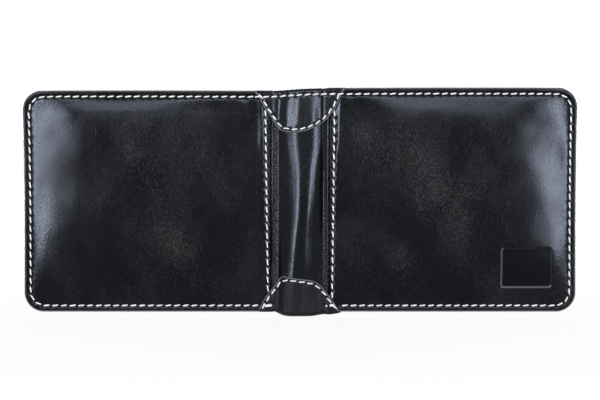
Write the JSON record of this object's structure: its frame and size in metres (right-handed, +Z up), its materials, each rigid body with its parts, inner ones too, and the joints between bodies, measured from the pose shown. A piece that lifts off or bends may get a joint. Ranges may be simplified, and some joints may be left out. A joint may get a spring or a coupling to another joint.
{
  "type": "bifold wallet",
  "caption": "Opened bifold leather wallet: two stitched covers on a rolled soft spine with half-moon patches, a bill compartment open at the top and card pockets inside.",
  "frame": {"origin": "centre of the bounding box on the ground, under the flat foot of the spine", "axes": "+X from the back half to the front half along the opened wallet, -Y out of the leather outside, +Y out of the card pockets, +Z up to the mouth of the bill compartment"},
  "size_m": [0.2372, 0.013, 0.0977],
  "materials": {
    "cover_leather": "black pull-up leather, waxed to a soft shine, with fine grain and faint scuffs",
    "spine_leather": "softer black leather, glossier and smooth",
    "pocket_leather": "thin black leather, satin",
    "lining_cloth": "dark grey woven lining, matt",
    "white_thread": "off-white waxed thread"
  },
  "bodies": {
    "spine": {"spine_leather": "spine_leather", "top_patch": "spine_leather", "bottom_patch": "spine_leather", "centre_strip": "spine_leather", "top_patch_thread": "white_thread", "bottom_patch_thread": "white_thread"},
    "back_half": {"back_cover": "cover_leather", "back_spine_margin": "spine_leather", "back_lining": "lining_cloth", "back_inner_wall": "pocket_leather", "back_card_backing": "pocket_leather", "back_card_slip_1": "pocket_leather", "back_card_slip_2": "pocket_leather", "back_card_pocket": "pocket_leather", "back_rim_thread": "white_thread", "back_spine_seam_thread": "white_thread", "back_pocket_thread": "white_thread"},
    "front_half": {"front_cover": "cover_leather", "front_spine_margin": "spine_leather", "front_lining": "lining_cloth", "front_inner_wall": "pocket_leather", "front_card_backing": "pocket_leather", "front_card_slip_1": "pocket_leather", "front_card_slip_2": "pocket_leather", "front_card_pocket": "pocket_leather", "front_rim_thread": "white_thread", "front_spine_seam_thread": "white_thread", "front_pocket_thread": "white_thread"}
  },
  "joints": [
    {"name": "front_fold", "type": "hinge", "parent": "spine", "child": "front_half", "pos_m": [0.0126, 0.0012, 0.05], "axis": [0, 0, 1], "range_deg": [0, 93], "deforming": ["top_patch", "bottom_patch", "centre_strip", "top_patch_thread", "bottom_patch_thread"]},
    {"name": "back_fold", "type": "hinge", "parent": "spine", "child": "back_half", "pos_m": [-0.0126, 0.0012, 0.05], "axis": [0, 0, -1], "range_deg": [0, 93], "deforming": ["top_patch", "bottom_patch", "centre_strip", "top_patch_thread", "bottom_patch_thread"]}
  ]
}
